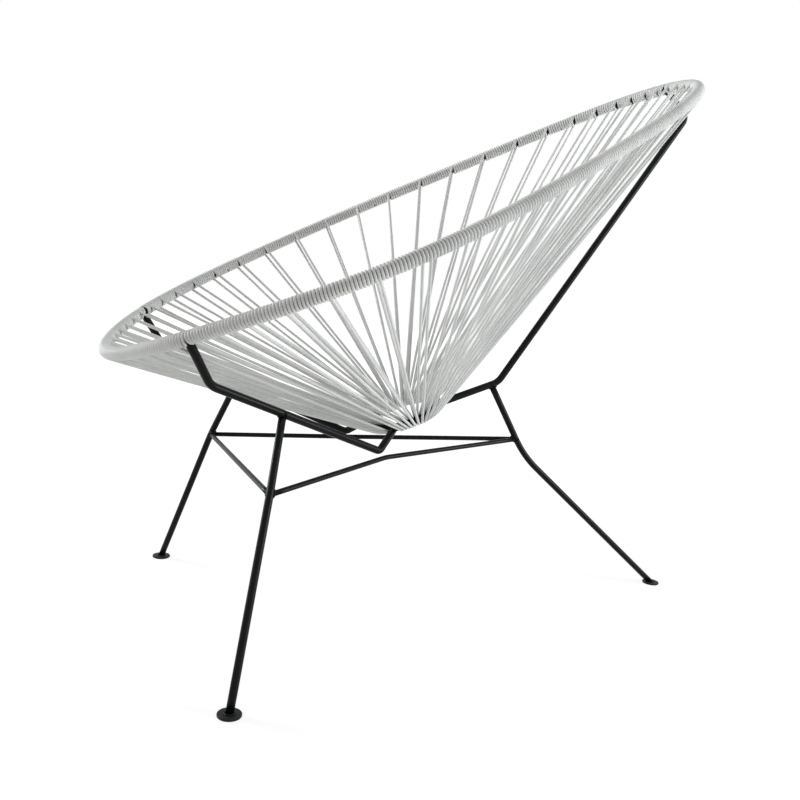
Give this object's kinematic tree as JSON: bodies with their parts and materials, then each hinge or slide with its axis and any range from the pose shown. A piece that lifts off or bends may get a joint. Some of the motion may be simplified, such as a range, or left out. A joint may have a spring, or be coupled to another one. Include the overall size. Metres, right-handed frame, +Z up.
{
  "type": "acapulco chair",
  "caption": "Low lounge chair with a pear-shaped bucket seat of plastic cord strung from a wrapped rim to a small ring, on a welded black rod frame with splayed legs and disc feet.",
  "frame": {"origin": "on the floor, at the middle of the chair's footprint box", "axes": "+Z up; the sitter faces -Y and the back leans towards +Y; +X is the sitter's left, and the chair is symmetric about X = 0"},
  "size_m": [0.6986, 0.9694, 0.8504],
  "materials": {
    "seat_cord": "light grey PVC cord, smooth with a soft sheen",
    "frame_paint": "black powder coat on steel rod, satin",
    "foot_paint": "black powder coat on steel disc, satin"
  },
  "bodies": {
    "root": {"cord_front_right": "seat_cord", "cord_front_middle": "seat_cord", "cord_front_left": "seat_cord", "cord_left_1": "seat_cord", "cord_left_2": "seat_cord", "cord_left_3": "seat_cord", "cord_left_4": "seat_cord", "cord_right_4": "seat_cord", "cord_right_3": "seat_cord", "cord_right_2": "seat_cord", "cord_right_1": "seat_cord", "rim_rod": "frame_paint", "lower_ring": "frame_paint", "front_arm_left": "frame_paint", "front_arm_right": "frame_paint", "back_arm": "frame_paint", "front_leg_left": "frame_paint", "front_leg_right": "frame_paint", "back_leg": "frame_paint", "stretcher_left": "frame_paint", "stretcher_right": "frame_paint", "stretcher_front": "frame_paint", "foot_disc_left": "foot_paint", "foot_disc_right": "foot_paint", "foot_disc_back": "foot_paint"}
  },
  "joints": []
}
